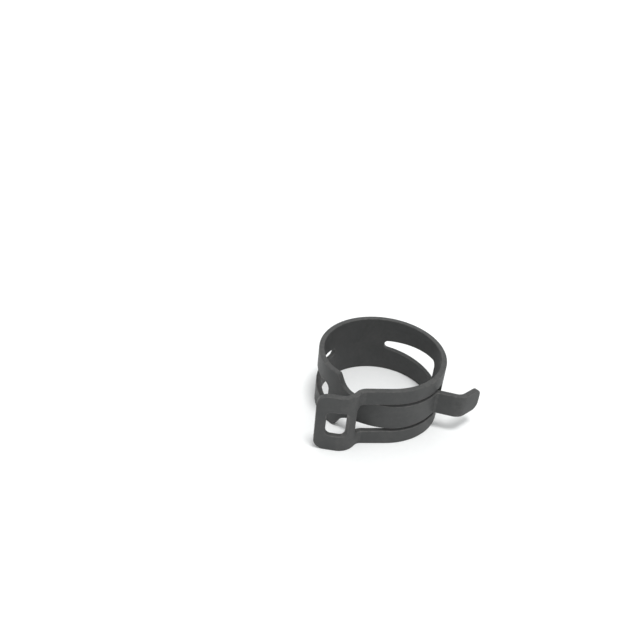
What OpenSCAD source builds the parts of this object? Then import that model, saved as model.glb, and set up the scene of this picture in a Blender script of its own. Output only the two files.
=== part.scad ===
// Constant-tension spring-band hose clamp, shown relaxed (closed).
// Origin: centre of the bore, half way along its width. +Z is the ring's axis, +Y points at the
// back of the band, and the two squeeze ears stand at the front, towards -Y. Millimetres.
// The real clamp is one strip. It is drawn as named stretches of that strip, which bend at
// flexure lines on the outer surface, so that the ring can be opened.
// Angles along an arm are counted from the middle of the back: the tongue arm runs
// anticlockwise seen from +Z, and the fork arm is drawn the same way, then mirrored.

/* [Strip] */
// Bore of the relaxed ring
bore_d = 22; // [20:0.5:26]
// Thickness of the spring strip
strip_t = 1.0; // [0.8:0.1:1.2]
// Width of the strip, along the ring's axis
band_w = 12; // [11:0.5:15]

/* [Flexures] */
// Angle from the middle of the back to the first flexure of each arm
flex_first = 20.5; // [18:0.5:21]
// Angle from one flexure to the next
flex_pitch = 32; // [31.5:0.1:32.5]

/* [Windows] */
// Width of both tapered windows at the narrow end
window_narrow = 1.7; // [1.2:0.1:2.4]
// Width of the fork arm's window at the wide end
fork_window_wide = 4.9; // [4:0.1:6]
// Width of the tongue arm's window at the wide end
tongue_window_wide = 4.9; // [4:0.1:6]
// Corner radius at the wide ends and the slot's ends
punch_r = 1.0; // [0.6:0.1:1.2]

/* [Tongue and slot] */
// Width of the tongue below its shoulder
tongue_w = 5.5; // [4.5:0.1:5.8]
// Width of the tongue where the grip ear leaves it, and of the grip ear
grip_ear_w = 4.7; // [4.2:0.1:5.5]
// Width of the slot between the two fork legs
slot_w = 6.2; // [6:0.1:6.6]
// Radius of the concave fillet between the shoulder and the tongue
shoulder_r = 3.2; // [2.6:0.1:3.6]

/* [Ears] */
// Straight run of the fork legs, tangent to the ring, up to the window ear
ear_lift = 4.6; // [4:0.1:5.5]
// Radius of the window ear's first bend, on its outer face
window_ear_knee_r = 1.5; // [1.2:0.1:1.8]
// Angle of the window ear's first bend
window_ear_knee = 46.6; // [42:0.1:50]
// Radius of the window ear's second bend, on its inner face
window_ear_curl_r = 2.45; // [2:0.05:3]
// Angle of the window ear's second bend
window_ear_curl = 58.7; // [52:0.1:64]
// Straight length of the window ear's lip
window_ear_lip = 4.1; // [3.6:0.1:6]
// Height of the pick-up window in the window ear, along the ring's axis
ear_window_h = 5.3; // [3:0.1:6]
// Length of the pick-up window
ear_window_l = 3.7; // [2.6:0.05:3.8]
// Angle from the middle of the back at which the grip ear leaves the ring
grip_ear_at = 213.2; // [211:0.1:216]
// Radius of the grip ear's first bend, on its outer face
grip_ear_knee_r = 0.75; // [0.6:0.05:1.2]
// Angle of the grip ear's first bend
grip_ear_knee = 67; // [60:0.5:72]
// Straight length of the grip ear between its bends
grip_ear_rise = 3.05; // [2:0.05:4]
// Radius of the grip ear's second bend, on its inner face
grip_ear_curl_r = 1.6; // [1.2:0.1:2.4]
// Angle of the grip ear's second bend
grip_ear_curl = 54; // [48:0.5:60]
// Straight length of the grip ear's lip
grip_ear_lip = 3.8; // [3:0.05:5]
// Corner radius of the window ear's lip
window_lip_r = 2.0; // [1:0.1:3]
// Corner radius of the grip ear's lip
grip_lip_r = 1.5; // [0.8:0.1:2.2]

/* [Hidden] */
$fn = 96;
r_in = bore_d / 2;
r_out = r_in + strip_t;
r_mid = r_in + strip_t / 2;
deg = 360 / (2 * PI * r_mid);
half = band_w / 2;
flex = [for (k = [0:5]) flex_first + k * flex_pitch];
fork_nose = 34;
fork_window_end = 97.5;
tongue_nose = 34;
tongue_window_end = 103;
slot_start = 132;
lift_from = 195;
ear_rise = 0.65;
bar_split = 30;
ear_slot_end = 0.48;
ear_window_from = -1.5;
shoulder_from = 112.5;
shoulder_slope = 60;
shoulder_line = half - tongue_w / 2 - shoulder_r * (1 - cos(shoulder_slope));
shoulder_x = shoulder_line / tan(shoulder_slope);
fillet_x = shoulder_x + shoulder_r * sin(shoulder_slope);
fillet_y = tongue_w / 2 + shoulder_r;
shoulder_end = shoulder_from + fillet_x * deg + 2;
steel = [0.20, 0.20, 0.21];

// A stretch of the ring between two angles of an arm and two heights.
module arc_bar(a0, a1, z0, z1)
  rotate([0, 0, 90 + a0])
    rotate_extrude(angle = a1 - a0)
      translate([r_in, z0])
        square([strip_t, z1 - z0]);

// The fork arm is the tongue arm's mirror image.
module fork_side()
  mirror([1, 0, 0])
    children();

// Pushes a flat outline through the wall at one angle: x runs along the arm, y runs up.
module through_wall(a)
  rotate([0, 0, 90 + a])
    rotate([90, 0, 90])
      translate([0, 0, r_in - 2])
        linear_extrude(strip_t + 4)
          children();

// Distance along the flat outline at angle a, for a cut made at angle mid.
function along(a, mid) = r_mid * sin(a - mid);

// Half width of a tapered window at angle a.
function taper(a, nose, end, wide) =
  window_narrow / 2 + (wide - window_narrow) / 2 * (a - nose) / (end - nose);

// One rail beside a tapered window: side is 1 above the window and -1 below it.
module rail(a0, a1, side, nose, end, wide) {
  mid = (a0 + a1) / 2;
  h0 = taper(a0 - 2, nose, end, wide);
  h1 = taper(a1 + 2, nose, end, wide);
  x0 = along(a0 - 2, mid);
  x1 = along(a1 + 2, mid);
  difference() {
    arc_bar(a0, a1, side > 0 ? 0 : -half, side > 0 ? half : 0);
    through_wall(mid)
      polygon([[x0, -h0], [x1, -h1], [x1, h1], [x0, h0]]);
  }
}

// Solid band at a window's narrow end, with the window's round nose in it.
module strap(a1)
  difference() {
    arc_bar(flex[0], a1, -half, half);
    through_wall(a1)
      circle(window_narrow / 2);
  }

// Rounded notch of half height h that reaches from x = -5 to x = depth.
module punch_end(depth, h, r) {
  translate([-5, -h])
    square([5 + depth - r, 2 * h]);
  translate([-5, r - h])
    square([5 + depth, 2 * (h - r)]);
  for (s = [-1, 1])
    translate([depth - r, s * (h - r)])
      circle(r);
}

// Solid band at a window's wide end, with the window's rounded end in it.
module bridge(a0, a1, end, wide) {
  difference() {
    arc_bar(a0, a1, -half, half);
    through_wall(a0)
      punch_end(along(end, a0), wide / 2, punch_r);
  }
}

// Point on the shoulder's concave fillet, t degrees before its lowest point.
function fillet(t) = [fillet_x - shoulder_r * sin(t), fillet_y - shoulder_r * cos(t)];

// Cuts both shoulders out of a stretch of full-width band: a slope, then a concave fillet.
module shouldered()
  difference() {
    children();
    for (s = [0, 1])
      through_wall(shoulder_end)
        translate([along(shoulder_from, shoulder_end), 0])
          mirror([0, s])
            polygon(concat([[-2 / tan(shoulder_slope), half + 2]],
              [for (t = [shoulder_slope:-5:0]) fillet(t)],
              [[fillet_x + 3, tongue_w / 2], [fillet_x + 3, half + 2]]));
  }

// Half width of the tongue at angle a, from its shoulder to the grip ear.
function tongue_half(a) =
  tongue_w / 2 - (tongue_w - grip_ear_w) / 2 * (a - shoulder_end) / (grip_ear_at - shoulder_end);

// A stretch of the tongue, which tapers evenly.
module blade(a0, a1) {
  mid = (a0 + a1) / 2;
  h0 = tongue_half(a0 - 2);
  h1 = tongue_half(a1 + 2);
  x0 = along(a0 - 2, mid);
  x1 = along(a1 + 2, mid);
  intersection() {
    arc_bar(a0, a1, -half, half);
    through_wall(mid)
      polygon([[x0, -h0], [x1, -h1], [x1, h1], [x0, h0]]);
  }
}

// Frame on the outer surface at angle a: X points outwards and Y runs along the strip.
module on_surface(a)
  rotate([0, 0, 90 + a])
    translate([r_out, 0, 0])
      children();

// Moves children past a straight run and a bend that turns the strip outwards.
module past_knee(run, r, a)
  translate([r, run, 0])
    rotate([0, 0, -a])
      translate([-r, 0, 0])
        children();

// Moves children past a straight run and a bend that turns the strip back inwards.
module past_curl(run, r, a)
  translate([-strip_t - r, run, 0])
    rotate([0, 0, a])
      translate([strip_t + r, 0, 0])
        children();

// Straight run of strip.
module run_of(length, z0, z1)
  translate([-strip_t, 0, z0])
    cube([strip_t, length, z1 - z0]);

// Bend outwards, of radius r on the outer face.
module knee(r, a, z0, z1)
  translate([r, 0, 0])
    rotate([0, 0, 180 - a])
      rotate_extrude(angle = a)
        translate([r, z0])
          square([strip_t, z1 - z0]);

// Bend back inwards, of radius r on the inner face.
module curl(r, a, z0, z1)
  translate([-strip_t - r, 0, 0])
    rotate_extrude(angle = a)
      translate([r, z0])
        square([strip_t, z1 - z0]);

// What rounding takes off the two corners of a lip that ends at x = length.
module lip_corners(length, h, r)
  for (s = [0, 1])
    mirror([0, 0, s])
      rotate([90, 0, 90])
        translate([length - r, h - r, -strip_t - 1])
          linear_extrude(strip_t + 2)
            difference() {
              square(r + 1);
              circle(r);
            }

module window_ear_at_knee()
  fork_side()
    on_surface(lift_from)
      translate([0, ear_lift, 0])
        children();

module window_ear_at_rise()
  window_ear_at_knee()
    past_knee(0, window_ear_knee_r, window_ear_knee)
      children();

module back_band()
  color(steel)
    arc_bar(-flex[0], flex[0], -half, half);

module fork_strap()
  color(steel)
    fork_side()
      strap(fork_nose);

module fork_rail_upper_1()
  color(steel)
    fork_side()
      rail(fork_nose, flex[1], 1, fork_nose, fork_window_end, fork_window_wide);

module fork_rail_lower_1()
  color(steel)
    fork_side()
      rail(fork_nose, flex[1], -1, fork_nose, fork_window_end, fork_window_wide);

module fork_rail_upper_2()
  color(steel)
    fork_side()
      rail(flex[1], flex[2], 1, fork_nose, fork_window_end, fork_window_wide);

module fork_rail_lower_2()
  color(steel)
    fork_side()
      rail(flex[1], flex[2], -1, fork_nose, fork_window_end, fork_window_wide);

module fork_rail_upper_3()
  color(steel)
    fork_side()
      rail(flex[2], fork_window_end - punch_r * deg, 1, fork_nose, fork_window_end, fork_window_wide);

module fork_rail_lower_3()
  color(steel)
    fork_side()
      rail(flex[2], fork_window_end - punch_r * deg, -1, fork_nose, fork_window_end, fork_window_wide);

module fork_bridge()
  color(steel)
    fork_side()
      bridge(fork_window_end - punch_r * deg, flex[3], fork_window_end, fork_window_wide);

module fork_crotch()
  color(steel)
    fork_side()
      difference() {
        arc_bar(flex[3], slot_start + punch_r * deg, -half, half);
        through_wall(slot_start + punch_r * deg)
          mirror([1, 0])
            punch_end(-along(slot_start, slot_start + punch_r * deg), slot_w / 2, punch_r);
      }

module fork_leg_upper_1()
  color(steel)
    fork_side()
      arc_bar(slot_start + punch_r * deg, flex[4], slot_w / 2, half);

module fork_leg_lower_1()
  color(steel)
    fork_side()
      arc_bar(slot_start + punch_r * deg, flex[4], -half, -slot_w / 2);

module fork_leg_upper_2()
  color(steel)
    fork_side()
      arc_bar(flex[4], flex[5], slot_w / 2, half);

module fork_leg_lower_2()
  color(steel)
    fork_side()
      arc_bar(flex[4], flex[5], -half, -slot_w / 2);

module fork_leg_upper_3()
  color(steel)
    fork_side()
      arc_bar(flex[5], lift_from, slot_w / 2, half);

module fork_leg_lower_3()
  color(steel)
    fork_side()
      arc_bar(flex[5], lift_from, -half, -slot_w / 2);

module fork_ramp_upper()
  color(steel)
    fork_side()
      on_surface(lift_from)
        run_of(ear_lift, slot_w / 2, half);

module fork_ramp_lower()
  color(steel)
    fork_side()
      on_surface(lift_from)
        run_of(ear_lift, -half, -slot_w / 2);

module window_ear_root()
  color(steel)
    difference() {
      union() {
        window_ear_at_knee()
          knee(window_ear_knee_r, window_ear_knee, -half, half);
        window_ear_at_rise()
          run_of(ear_rise, -half, half);
        window_ear_at_rise()
          translate([0, ear_rise, 0])
            curl(window_ear_curl_r, bar_split, -half, half);
      }
      window_ear_at_rise()
        rotate([90, 0, 90])
          translate([0, 0, -3])
            linear_extrude(6)
              punch_end(ear_slot_end, slot_w / 2, punch_r);
    }

module window_ear_plate()
  color(steel)
    difference() {
      union() {
        window_ear_at_rise()
          past_curl(ear_rise, window_ear_curl_r, bar_split)
            curl(window_ear_curl_r, window_ear_curl - bar_split, -half, half);
        window_ear_at_rise()
          past_curl(ear_rise, window_ear_curl_r, window_ear_curl)
            run_of(window_ear_lip, -half, half);
      }
      window_ear_at_rise()
        past_curl(ear_rise, window_ear_curl_r, window_ear_curl)
          lip_corners(window_ear_lip, half, window_lip_r);
      window_ear_at_rise()
        past_curl(ear_rise, window_ear_curl_r, window_ear_curl)
          rotate([90, 0, 90])
            translate([ear_window_from, 0, -4])
              linear_extrude(6)
                union() {
                  translate([punch_r, -ear_window_h / 2])
                    square([ear_window_l - 2 * punch_r, ear_window_h]);
                  translate([0, punch_r - ear_window_h / 2])
                    square([ear_window_l, ear_window_h - 2 * punch_r]);
                  for (x = [punch_r, ear_window_l - punch_r])
                    for (s = [-1, 1])
                      translate([x, s * (ear_window_h / 2 - punch_r)])
                        circle(punch_r);
                }
    }

module tongue_strap()
  color(steel)
    strap(tongue_nose);

module tongue_rail_upper_1()
  color(steel)
    rail(tongue_nose, flex[1], 1, tongue_nose, tongue_window_end, tongue_window_wide);

module tongue_rail_lower_1()
  color(steel)
    rail(tongue_nose, flex[1], -1, tongue_nose, tongue_window_end, tongue_window_wide);

module tongue_rail_upper_2()
  color(steel)
    rail(flex[1], flex[2], 1, tongue_nose, tongue_window_end, tongue_window_wide);

module tongue_rail_lower_2()
  color(steel)
    rail(flex[1], flex[2], -1, tongue_nose, tongue_window_end, tongue_window_wide);

module tongue_rail_upper_3()
  color(steel)
    rail(flex[2], tongue_window_end - punch_r * deg, 1, tongue_nose, tongue_window_end,
      tongue_window_wide);

module tongue_rail_lower_3()
  color(steel)
    rail(flex[2], tongue_window_end - punch_r * deg, -1, tongue_nose, tongue_window_end,
      tongue_window_wide);

module tongue_bridge()
  color(steel)
    shouldered()
      bridge(tongue_window_end - punch_r * deg, flex[3], tongue_window_end, tongue_window_wide);

module tongue_shoulder()
  color(steel)
    shouldered()
      arc_bar(flex[3], shoulder_end, -half, half);

module tongue_blade_1()
  color(steel)
    blade(shoulder_end, flex[4]);

module tongue_blade_2()
  color(steel)
    blade(flex[4], flex[5]);

module tongue_blade_3()
  color(steel)
    blade(flex[5], grip_ear_at);

module grip_ear_root()
  color(steel)
    union() {
      on_surface(grip_ear_at)
        knee(grip_ear_knee_r, grip_ear_knee, -grip_ear_w / 2, grip_ear_w / 2);
      on_surface(grip_ear_at)
        past_knee(0, grip_ear_knee_r, grip_ear_knee)
          run_of(grip_ear_rise, -grip_ear_w / 2, grip_ear_w / 2);
    }

module grip_ear_bend()
  color(steel)
    on_surface(grip_ear_at)
      past_knee(0, grip_ear_knee_r, grip_ear_knee)
        translate([0, grip_ear_rise, 0])
          curl(grip_ear_curl_r, grip_ear_curl, -grip_ear_w / 2, grip_ear_w / 2);

module grip_ear_tip()
  color(steel)
    on_surface(grip_ear_at)
      past_knee(0, grip_ear_knee_r, grip_ear_knee)
        past_curl(grip_ear_rise, grip_ear_curl_r, grip_ear_curl)
          difference() {
            run_of(grip_ear_lip, -grip_ear_w / 2, grip_ear_w / 2);
            lip_corners(grip_ear_lip, grip_ear_w / 2, grip_lip_r);
          }

back_band();
fork_strap();
fork_rail_upper_1();
fork_rail_lower_1();
fork_rail_upper_2();
fork_rail_lower_2();
fork_rail_upper_3();
fork_rail_lower_3();
fork_bridge();
fork_crotch();
fork_leg_upper_1();
fork_leg_lower_1();
fork_leg_upper_2();
fork_leg_lower_2();
fork_leg_upper_3();
fork_leg_lower_3();
fork_ramp_upper();
fork_ramp_lower();
window_ear_root();
window_ear_plate();
tongue_strap();
tongue_rail_upper_1();
tongue_rail_lower_1();
tongue_rail_upper_2();
tongue_rail_lower_2();
tongue_rail_upper_3();
tongue_rail_lower_3();
tongue_bridge();
tongue_shoulder();
tongue_blade_1();
tongue_blade_2();
tongue_blade_3();
grip_ear_root();
grip_ear_bend();
grip_ear_tip();
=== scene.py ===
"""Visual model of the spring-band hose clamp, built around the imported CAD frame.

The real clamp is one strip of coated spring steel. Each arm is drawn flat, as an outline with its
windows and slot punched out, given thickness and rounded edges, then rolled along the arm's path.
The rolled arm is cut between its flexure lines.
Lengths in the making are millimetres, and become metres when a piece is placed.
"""

import math

import bmesh
import bpy
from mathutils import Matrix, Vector


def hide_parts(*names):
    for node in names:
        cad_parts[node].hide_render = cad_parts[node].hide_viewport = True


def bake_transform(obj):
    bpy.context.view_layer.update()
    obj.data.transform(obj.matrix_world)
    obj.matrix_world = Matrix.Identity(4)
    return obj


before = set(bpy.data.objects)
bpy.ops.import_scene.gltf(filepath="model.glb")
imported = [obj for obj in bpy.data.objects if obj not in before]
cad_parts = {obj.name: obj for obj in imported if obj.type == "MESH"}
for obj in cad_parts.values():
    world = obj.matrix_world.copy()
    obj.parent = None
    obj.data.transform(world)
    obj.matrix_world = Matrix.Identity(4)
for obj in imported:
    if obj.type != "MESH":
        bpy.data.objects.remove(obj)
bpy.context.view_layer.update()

MM = 0.001
STRIP_T = 1.0
BAND_W = 12.0
R_MID = 11.5  # radius of the middle of the strip
HALF = BAND_W / 2
PER_DEG = math.radians(1) * R_MID  # length along the ring of one degree
EDGE_R = 0.15  # rounding of the strip's edges
EDGE_FLAT = 0.07  # narrow flat beside each rounded edge

PUNCH_R = 1.0  # corner radius of every punched hole
NARROW, WIDE = 1.7, 4.9  # widths of a tapered window
WINDOW_NOSE = 34  # ring degrees at which both tapered windows start
FORK_WINDOW_END = 97.5
TONGUE_WINDOW_END = 103
SLOT_START = 132
SLOT_HALF = 3.1
SLOT_PAST_KNEE = 0.48  # how far the slot runs up the window ear
EAR_HOLE_HALF = 2.65
EAR_HOLE = (-1.56, 2.2)  # its two ends, from the start of the lip
EAR_CORNER = 2.0
SHOULDER_START = 112.5
SHOULDER_SLOPE = 60
SHOULDER_R = 3.2  # concave fillet at the foot of the shoulder
SHOULDER_CORNER = 0.5
TONGUE_HALF = 2.75
GRIP_HALF = 2.35
GRIP_CORNER = 1.5

# The tongue's dip inside the ring's circle: it starts, is deepest between two angles, and ends.
WAIST = (92, 130, 136, 178)
WAIST_DEPTH = 0.7

MERGE = 0.0005  # points closer than this are one point
PLANE_TOLERANCE = 1e-6
SIDE_FACE, FLAT_FACE, END_FACE = 0, 1, 2  # marks on the faces while a piece is made
ARC_STEP = 7.0  # degrees between the points of a rounded corner
HOLE_ARC_STEP = 9.0
FULL_BEND_HIGHLIGHT = 2.2  # curvature, per millimetre, times this gives how strong the painted highlight on a bend is

# ---------------------------------------------------------------- path of each arm

# (kind, length or angle, middle radius): "arc" turns with the ring, "out" turns away from it.
FORK_PATH = [
    ("arc", 195.0, R_MID),
    ("line", 4.6, 0),
    ("out", 46.6, 2.0),
    ("line", 0.65, 0),
    ("arc", 58.7, 2.95),
    ("line", 4.1, 0),
]
TONGUE_PATH = [
    ("arc", 213.2, R_MID),
    ("out", 67.0, 1.25),
    ("line", 3.05, 0),
    ("arc", 54.0, 2.1),
    ("line", 3.8, 0),
]


def run_lengths(path):
    """Distance along the middle of the strip at the start of each run, and at the end."""
    at = [0.0]
    for kind, size, radius in path:
        at.append(at[-1] + (size if kind == "line" else math.radians(size) * radius))
    return at


def on_path(path, s):
    """(point in the middle of the strip, unit vector out of the outer face, curvature) at s."""
    at = run_lengths(path)
    x, y, heading = 0.0, R_MID, math.pi
    for i, (kind, size, radius) in enumerate(path):
        last = i == len(path) - 1
        d = s - at[i] if last or s < at[i + 1] else at[i + 1] - at[i]
        if kind == "line":
            x, y = x + d * math.cos(heading), y + d * math.sin(heading)
            bend = 0.0
        else:
            side = 1 if kind == "arc" else -1
            bend = side / radius
            turn = side * d / radius
            cx = x - side * radius * math.sin(heading)
            cy = y + side * radius * math.cos(heading)
            heading += turn
            x = cx + side * radius * math.sin(heading)
            y = cy - side * radius * math.cos(heading)
        if last or s < at[i + 1]:
            return (x, y), (math.sin(heading), -math.cos(heading)), bend


# ---------------------------------------------------------------- flat outlines


def rounded(corners, step=ARC_STEP):
    """Closed outline through corners (s, z, radius), with each corner's arc sampled by angle."""
    out = []
    n = len(corners)
    for i, (s, z, r) in enumerate(corners):
        p = Vector((s, z))
        a = Vector(corners[i - 1][:2]) - p
        b = Vector(corners[(i + 1) % n][:2]) - p
        a.normalize()
        b.normalize()
        between = math.acos(max(-1.0, min(1.0, a.dot(b))))
        if r <= 0 or between > math.pi - 1e-3:
            out.append((s, z))
            continue
        reach = r / math.tan(between / 2)
        centre = p + (a + b).normalized() * (r / math.sin(between / 2))
        first, final = p + a * reach, p + b * reach
        t0 = math.atan2(first.y - centre.y, first.x - centre.x)
        t1 = math.atan2(final.y - centre.y, final.x - centre.x)
        sweep = (t1 - t0 + math.pi) % (2 * math.pi) - math.pi
        count = max(2, math.ceil(abs(math.degrees(sweep)) / step))
        for k in range(count + 1):
            t = t0 + sweep * k / count
            out.append((centre.x + r * math.cos(t), centre.y + r * math.sin(t)))
    return out


def area(loop):
    """Area inside a loop, positive when it runs anticlockwise."""
    return 0.5 * sum(
        loop[i - 1][0] * loop[i][1] - loop[i][0] * loop[i - 1][1] for i in range(len(loop))
    )


def turned(loop, anticlockwise):
    return loop if (area(loop) > 0) == anticlockwise else loop[::-1]


def inset(loop, d):
    """The loop moved d into the metal, which lies to the left of its direction of travel."""
    out = []
    n = len(loop)
    for i in range(n):
        p = Vector(loop[i])
        a = (p - Vector(loop[i - 1])).normalized()
        b = (Vector(loop[(i + 1) % n]) - p).normalized()
        na, nb = Vector((-a.y, a.x)), Vector((-b.y, b.x))
        m = (na + nb).normalized()
        q = p + m * (d / max(0.3, m.dot(na)))
        out.append((q.x, q.y))
    return out


def window(nose, end, narrow, wide, r):
    """Tapered window from a round nose to a wide end with rounded corners, in ring degrees."""
    s0 = nose * PER_DEG - narrow / 2
    s1 = end * PER_DEG
    h0, h1 = narrow / 2, wide / 2
    nose_r = h0 * 0.96
    corners = [(s0, -h0, nose_r), (s1, -h1, r), (s1, h1, r), (s0, h0, nose_r)]
    return rounded(corners, HOLE_ARC_STEP)


def box_hole(s0, s1, half, r):
    """Rectangular hole with rounded corners, from s0 to s1 along the strip."""
    corners = [(s0, -half, r), (s1, -half, r), (s1, half, r), (s0, half, r)]
    return rounded(corners, HOLE_ARC_STEP)


def fork_loops():
    """Outline and holes of the fork arm, laid flat."""
    at = run_lengths(FORK_PATH)
    knee_end, lip, end = at[3], at[-2], at[-1]
    outline = rounded(
        [(-1, -HALF, 0), (end, -HALF, EAR_CORNER), (end, HALF, EAR_CORNER), (-1, HALF, 0)]
    )
    holes = [
        window(WINDOW_NOSE, FORK_WINDOW_END, NARROW, WIDE, PUNCH_R),
        box_hole(SLOT_START * PER_DEG, knee_end + SLOT_PAST_KNEE, SLOT_HALF, PUNCH_R),
        box_hole(lip + EAR_HOLE[0], lip + EAR_HOLE[1], EAR_HOLE_HALF, PUNCH_R),
    ]
    return outline, holes


def tongue_loops():
    """Outline and hole of the tongue arm, laid flat."""
    at = run_lengths(TONGUE_PATH)
    end, ring_end = at[-1], at[1]
    s0 = SHOULDER_START * PER_DEG
    drop = HALF - TONGUE_HALF
    s1 = s0 + drop / math.tan(math.radians(SHOULDER_SLOPE))
    side = [
        (-1, HALF, 0),
        (s0, HALF, SHOULDER_CORNER),
        (s1, TONGUE_HALF, SHOULDER_R),
        (ring_end, GRIP_HALF, 0),
        (end, GRIP_HALF, GRIP_CORNER),
    ]
    outline = rounded([(s, -z, r) for s, z, r in side] + side[::-1])
    return outline, [window(WINDOW_NOSE, TONGUE_WINDOW_END, NARROW, WIDE, PUNCH_R)]


# ---------------------------------------------------------------- strip mesh


def flat_strip(outline, holes):
    """Closed flat strip with rounded edges: x along the strip, y towards the outer face, z up."""
    loops = [turned(outline, True)] + [turned(h, False) for h in holes]
    half = STRIP_T / 2
    profile = [(EDGE_R + EDGE_FLAT, half), (EDGE_R, half)]
    for k in range(1, 5):
        t = math.radians(22.5 * k)
        profile.append((EDGE_R * (1 - math.sin(t)), half - EDGE_R * (1 - math.cos(t))))
    profile.append((0.0, half - EDGE_R - EDGE_FLAT))
    profile += [(d, -y) for d, y in reversed(profile)]
    bm = bmesh.new()
    edge = bm.verts.layers.float.new("edge")
    caps = [[], []]
    for loop in loops:
        rings = []
        for d, y in profile:
            ring = [bm.verts.new((s, y, z)) for s, z in inset(loop, d)]
            for v in ring:
                v[edge] = 0.0 if d > EDGE_R else 1.0 - abs(d) / EDGE_R * 0.75
            rings.append(ring)
        n = len(loop)
        for a, b in zip(rings, rings[1:]):
            for i in range(n):
                bm.faces.new((a[i - 1], a[i], b[i], b[i - 1]))
        for which, ring in ((0, rings[0]), (1, rings[-1])):
            caps[which] += [bm.edges.get((ring[i - 1], ring[i])) for i in range(n)]
    for which in (0, 1):
        filled = bmesh.ops.triangle_fill(bm, use_beauty=True, edges=caps[which])
        for f in filled["geom"]:
            if isinstance(f, bmesh.types.BMFace):
                f.material_index = FLAT_FACE
    bmesh.ops.recalc_face_normals(bm, faces=bm.faces)
    return bm


def everything(bm):
    return bm.verts[:] + bm.edges[:] + bm.faces[:]


def slice_at(bm, s, **clear):
    """Cuts the flat strip square across at s, and clears one side if told to."""
    bmesh.ops.bisect_plane(
        bm,
        geom=everything(bm),
        dist=PLANE_TOLERANCE,
        plane_co=(s, 0, 0),
        plane_no=(1, 0, 0),
        **clear,
    )


def slices(path, low, high):
    """Where the strip is sliced between low and high, so that it bends smoothly."""
    at = run_lengths(path)
    cuts = {round(low + 0.02, 4)}
    if high < at[-1] - 0.1:
        cuts.add(round(high - 0.02, 4))
    for i, (kind, _, radius) in enumerate(path):
        step = 1.0 if kind == "line" else radius * math.radians(1.2 if radius > 5 else 4.0)
        count = max(1, math.ceil((at[i + 1] - at[i]) / step))
        for k in range(count + 1):
            s = at[i] + (at[i + 1] - at[i]) * k / count
            if low + 0.05 < s < high - 0.05:
                cuts.add(round(s, 4))
    return sorted(cuts)


def cut_piece(strip, path, low, high):
    """The part of a flat strip between low and high, closed, sliced and with clean flat faces."""
    bm = strip.copy()
    slice_at(bm, low, clear_inner=True)
    slice_at(bm, high, clear_outer=True)
    open_edges = [e for e in bm.edges if len(e.link_faces) == 1]
    if open_edges:
        filled = bmesh.ops.holes_fill(bm, edges=open_edges, sides=0)
        for f in filled["faces"]:
            f.material_index = END_FACE
    for s in slices(path, low, high):
        slice_at(bm, s)
    spare = [
        e
        for e in bm.edges
        if len(e.link_faces) == 2
        and all(f.material_index == FLAT_FACE for f in e.link_faces)
        and abs(e.verts[0].co.x - e.verts[1].co.x) > 1e-4
    ]
    bmesh.ops.dissolve_edges(bm, edges=spare, use_verts=True, use_face_split=False)
    bmesh.ops.remove_doubles(bm, verts=bm.verts, dist=MERGE)
    return bm


def waist(s):
    """How far the tongue lies inside the ring's circle, at s along it."""
    a = s / PER_DEG
    if not WAIST[0] < a < WAIST[3]:
        return 0.0
    up = min(1.0, (a - WAIST[0]) / (WAIST[1] - WAIST[0]))
    down = min(1.0, (WAIST[3] - a) / (WAIST[3] - WAIST[2]))
    t = min(up, down)
    return WAIST_DEPTH * t * t * (3 - 2 * t)


def face_outward(bm):
    """Turns the faces of every closed shell outward, by the sign of the volume it encloses."""
    bmesh.ops.recalc_face_normals(bm, faces=bm.faces)
    left = set(bm.faces)
    while left:
        shell, front = [], [left.pop()]
        while front:
            f = front.pop()
            shell.append(f)
            for g in [g for e in f.edges for g in e.link_faces]:
                if g in left:
                    left.remove(g)
                    front.append(g)
        volume = 0.0
        for f in shell:
            first, *rest = [v.co for v in f.verts]
            volume += sum(first.dot(b.cross(c)) for b, c in zip(rest, rest[1:]))
        if volume < 0:
            bmesh.ops.reverse_faces(bm, faces=shell)
    bm.normal_update()


def rolled(name, bm, path, sign):
    """Rolls a flat piece along its arm's path and makes the object. sign is -1 on the fork arm."""
    strip = bm.verts.layers.float_vector.new("strip")
    bend_highlight_mask = bm.verts.layers.float.new("bend_highlight_mask")
    for v in bm.verts:
        s, y, z = v.co
        (px, py), (nx, ny), bend = on_path(path, s)
        v[strip] = Vector((sign * s, z, y))
        # Painted highlight: marks the bends so the coat is coloured lighter where the strip curves
        # most.
        v[bend_highlight_mask] = min(1.0, abs(bend) * FULL_BEND_HIGHLIGHT)
        if sign > 0:
            y -= waist(s)
        v.co = Vector((sign * (px + nx * y), py + ny * y, z)) * MM
    face_outward(bm)
    for e in bm.edges:
        e.smooth = not any(f.material_index == END_FACE for f in e.link_faces)
    for f in bm.faces:
        f.smooth = f.material_index != END_FACE
        f.material_index = SIDE_FACE
    mesh = bpy.data.meshes.new(name)
    bm.to_mesh(mesh)
    bm.free()
    obj = bpy.data.objects.new(name, mesh)
    bpy.context.scene.collection.objects.link(obj)
    return obj


# ---------------------------------------------------------------- pieces

# The CAD nodes that each piece of an arm stands for, from the back of the ring to the ear.
FORK_NODES = [
    ["back_band", "fork_strap", "fork_rail_upper_1", "fork_rail_lower_1"],
    ["fork_rail_upper_2", "fork_rail_lower_2"],
    ["fork_rail_upper_3", "fork_rail_lower_3"],
    ["fork_bridge", "fork_crotch"],
    ["fork_leg_upper_1", "fork_leg_lower_1", "fork_leg_upper_2", "fork_leg_lower_2"],
    [
        "fork_leg_upper_3",
        "fork_leg_lower_3",
        "fork_ramp_upper",
        "fork_ramp_lower",
        "window_ear_root",
        "window_ear_plate",
    ],
]
TONGUE_NODES = [
    ["tongue_strap", "tongue_rail_upper_1", "tongue_rail_lower_1"],
    ["tongue_rail_upper_2", "tongue_rail_lower_2"],
    ["tongue_rail_upper_3", "tongue_rail_lower_3"],
    ["tongue_bridge", "tongue_shoulder", "tongue_blade_1"],
    ["tongue_blade_2"],
    ["tongue_blade_3", "grip_ear_root", "grip_ear_bend", "grip_ear_tip"],
]
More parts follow.
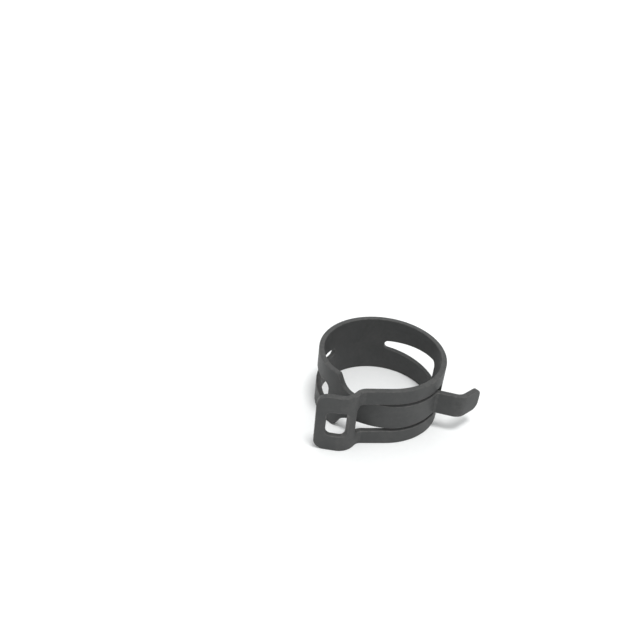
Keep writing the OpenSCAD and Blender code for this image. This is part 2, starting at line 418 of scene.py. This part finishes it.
# Name, side, path, outline and holes, the angles the arm is cut at, and its pieces' CAD nodes.
ARMS = [
    ("fork", -1, FORK_PATH, fork_loops(), [0, 36, 68, 100, 130, 164], FORK_NODES),
    ("tongue", 1, TONGUE_PATH, tongue_loops(), [0, 36, 68, 107, 132, 164], TONGUE_NODES),
]

made = []
for arm, sign, path, (outline, holes), angles, stands_for in ARMS:
    strip = flat_strip(outline, holes)
    length = run_lengths(path)[-1]
    for k, low in enumerate(angles):
        last = k == len(angles) - 1
        high = length + 1 if last else angles[k + 1] * PER_DEG
        flat = cut_piece(strip, path, low * PER_DEG, high)
        obj = rolled(f"steel_{arm}_{k + 1}", flat, path, sign)
        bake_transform(obj)
        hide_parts(*stands_for[k])
        made.append(obj)
    strip.free()

# ---------------------------------------------------------------- materials


class Nodes:
    """Short ways to add and join the nodes of one material."""

    def __init__(self, name):
        self.material = bpy.data.materials.new(name)
        self.material.use_nodes = True
        self.tree = self.material.node_tree
        self.shader = next(n for n in self.tree.nodes if n.type == "BSDF_PRINCIPLED")

    def add(self, kind, inputs=(), **settings):
        node = self.tree.nodes.new(kind)
        for key, value in settings.items():
            setattr(node, key, value)
        for key, value in dict(inputs).items():
            if isinstance(value, bpy.types.NodeSocket):
                self.tree.links.new(value, node.inputs[key])
            else:
                node.inputs[key].default_value = value
        return node

    def math(self, operation, a, b=0.0, clamp=False):
        return self.add(
            "ShaderNodeMath", {0: a, 1: b}, operation=operation, use_clamp=clamp
        ).outputs[0]

    def ramp(self, value, *stops):
        node = self.add("ShaderNodeValToRGB", {"Fac": value})
        ramp = node.color_ramp
        while len(ramp.elements) < len(stops):
            ramp.elements.new(0.5)
        for element, (at, level) in zip(ramp.elements, stops):
            element.position = at
            element.color = level if isinstance(level, tuple) else (level, level, level, 1)
        return node.outputs["Color"]

    def stretched(self, vector, scale):
        return self.add("ShaderNodeMapping", {"Vector": vector, "Scale": scale}).outputs[0]

    def noise(self, vector, scale, detail=3.0, rough=0.5):
        inputs = {"Vector": vector, "Scale": scale, "Detail": detail, "Roughness": rough}
        return self.add("ShaderNodeTexNoise", inputs).outputs["Fac"]


def steel_material():
    """Satin black coat on spring steel. The strip attribute is millimetres along, up and out."""
    m = Nodes("coated_spring_steel")
    strip = m.add("ShaderNodeAttribute", attribute_name="strip").outputs["Vector"]
    edge = m.add("ShaderNodeAttribute", attribute_name="edge").outputs["Fac"]
    bend_highlight_mask = m.add("ShaderNodeAttribute", attribute_name="bend_highlight_mask").outputs["Fac"]

    cloud = m.noise(strip, 0.22, 4.0, 0.55)
    mottle = m.noise(strip, 1.3, 5.0, 0.62)
    peel = m.noise(strip, 5.5, 2.0, 0.45)
    grain = m.noise(strip, 17.0, 3.0, 0.6)
    rolling = m.noise(m.stretched(strip, (0.12, 5.5, 1.0)), 1.0, 4.0, 0.6)
    shear = m.noise(m.stretched(strip, (6.0, 6.0, 0.5)), 1.0, 3.0, 0.6)
    scuff = m.noise(m.stretched(strip, (1.4, 7.0, 2.0)), 1.0, 5.0, 0.7)

    # Lighter rims: partly worn coat on the rounded edges, partly a painted highlight along them.
    on_rim = m.ramp(edge, (0.0, 0.0), (0.3, 0.55), (0.62, 1.0), (0.98, 0.4))
    broken = m.ramp(mottle, (0.36, 0.15), (0.62, 1.0))
    wear_and_rim_highlight = m.math("MULTIPLY", on_rim, broken, clamp=True)
    # Painted highlight on the bends, broken up by the mottle.
    bend_highlight = m.math("MULTIPLY", bend_highlight_mask, m.ramp(mottle, (0.4, 0.1), (0.7, 0.8)))
    rubbed = m.ramp(scuff, (0.66, 0.0), (0.78, 0.45))
    side = m.ramp(edge, (0.9, 0.0), (0.99, 1.0))

    base = m.ramp(
        m.math("ADD", m.math("MULTIPLY", cloud, 0.6), m.math("MULTIPLY", mottle, 0.4)),
        (0.32, (0.050, 0.051, 0.051, 1)),
        (0.52, (0.059, 0.060, 0.060, 1)),
        (0.70, (0.070, 0.070, 0.069, 1)),
    )

    def over(below, colour, amount):
        node = m.add("ShaderNodeMix", {"Factor": amount}, data_type="RGBA")
        m.tree.links.new(below, node.inputs[6])  # colour A
        node.inputs[7].default_value = colour  # colour B
        return node.outputs[2]

    # Painted highlight: lighter colour on the bends.
    colour = over(base, (0.086, 0.085, 0.083, 1), m.math("MULTIPLY", bend_highlight, 0.7))
    colour = over(colour, (0.098, 0.096, 0.094, 1), rubbed)
    # Lighter colour on the rounded edges: part wear of the coat, part painted highlight.
    colour = over(colour, (0.125, 0.122, 0.118, 1), m.math("MULTIPLY", wear_and_rim_highlight, 0.75))

    rough = m.math("ADD", m.math("MULTIPLY", mottle, 0.22), 0.36)
    rough = m.math("ADD", rough, m.math("MULTIPLY", rolling, 0.10))
    rough = m.math("SUBTRACT", rough, m.math("MULTIPLY", wear_and_rim_highlight, 0.10), clamp=True)

    height = m.math("MULTIPLY", peel, 0.55)
    height = m.math("ADD", height, m.math("MULTIPLY", grain, 0.22))
    height = m.math("ADD", height, m.math("MULTIPLY", rolling, 0.35))
    height = m.math("ADD", height, m.math("MULTIPLY", m.math("MULTIPLY", shear, side), 1.1))
    height = m.math("SUBTRACT", height, m.math("MULTIPLY", rubbed, 0.25))
    bump = m.add("ShaderNodeBump", {"Strength": 0.55, "Distance": 0.00003, "Height": height})

    link = m.tree.links.new
    link(colour, m.shader.inputs["Base Color"])
    link(rough, m.shader.inputs["Roughness"])
    link(m.math("MULTIPLY", wear_and_rim_highlight, 0.35), m.shader.inputs["Metallic"])
    link(bump.outputs["Normal"], m.shader.inputs["Normal"])
    m.shader.inputs["Specular IOR Level"].default_value = 0.22
    return m.material


def floor_material():
    """Pale matt board with a faint fibre."""
    m = Nodes("pale_board")
    place = m.add("ShaderNodeTexCoord").outputs["Object"]
    fibre = m.noise(place, 900.0, 4.0, 0.6)
    tint = m.ramp(fibre, (0.3, (0.885, 0.892, 0.892, 1)), (0.7, (0.905, 0.910, 0.908, 1)))
    m.tree.links.new(tint, m.shader.inputs["Base Color"])
    m.shader.inputs["Roughness"].default_value = 0.6
    m.shader.inputs["Specular IOR Level"].default_value = 0.25
    return m.material


steel = steel_material()
for obj in made + list(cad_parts.values()):
    obj.data.materials.clear()
    obj.data.materials.append(steel)

# ---------------------------------------------------------------- floor, light, camera

FLOOR_Z = -HALF * MM
FLOOR_HALF = 1.5
SUN_STRENGTH = 1.68
SUN_SPREAD = 0.28  # radians: a wide sun, so its shadows are soft
SUN_DIRECTION = Vector((-0.03, 0.19, -1.0))
CAMERA_PLACE = (-0.048686, -0.086051, 0.075024)
CAMERA_TURN = (57.004, -4.452, -19.473)  # degrees

bm = bmesh.new()
bmesh.ops.create_grid(bm, x_segments=4, y_segments=4, size=FLOOR_HALF)
floor_mesh = bpy.data.meshes.new("floor")
bm.to_mesh(floor_mesh)
bm.free()
floor = bpy.data.objects.new("floor", floor_mesh)
floor.location = (0, 0, FLOOR_Z)
floor_mesh.materials.append(floor_material())
bpy.context.scene.collection.objects.link(floor)

world = bpy.data.worlds.new("studio")
world.use_nodes = True
sky = world.node_tree.nodes["Background"]
place = world.node_tree.nodes.new("ShaderNodeTexCoord").outputs["Generated"]
height = world.node_tree.nodes.new("ShaderNodeSeparateXYZ")
world.node_tree.links.new(place, height.inputs[0])
fade = world.node_tree.nodes.new("ShaderNodeValToRGB")
fade.color_ramp.elements[0].position = 0.0
fade.color_ramp.elements[0].color = (0.78, 0.79, 0.79, 1)
fade.color_ramp.elements[1].position = 0.8
fade.color_ramp.elements[1].color = (0.80, 0.81, 0.81, 1)
world.node_tree.links.new(height.outputs["Z"], fade.inputs["Fac"])
world.node_tree.links.new(fade.outputs["Color"], sky.inputs["Color"])
bpy.context.scene.world = world

lamp = bpy.data.lights.new("ceiling", "SUN")
lamp.energy = SUN_STRENGTH
lamp.angle = SUN_SPREAD
ceiling = bpy.data.objects.new("ceiling", lamp)
ceiling.rotation_euler = SUN_DIRECTION.to_track_quat("-Z", "Y").to_euler()
bpy.context.scene.collection.objects.link(ceiling)

camera_data = bpy.data.cameras.new("camera")
camera_data.lens = 36.0
camera_data.sensor_width = 36.0
camera_data.clip_start = 0.005
camera_data.clip_end = 10.0
camera = bpy.data.objects.new("camera", camera_data)
camera.location = CAMERA_PLACE
camera.rotation_euler = [math.radians(a) for a in CAMERA_TURN]
bpy.context.scene.collection.objects.link(camera)
bpy.context.scene.camera = camera
bpy.context.scene.view_settings.view_transform = "Standard"
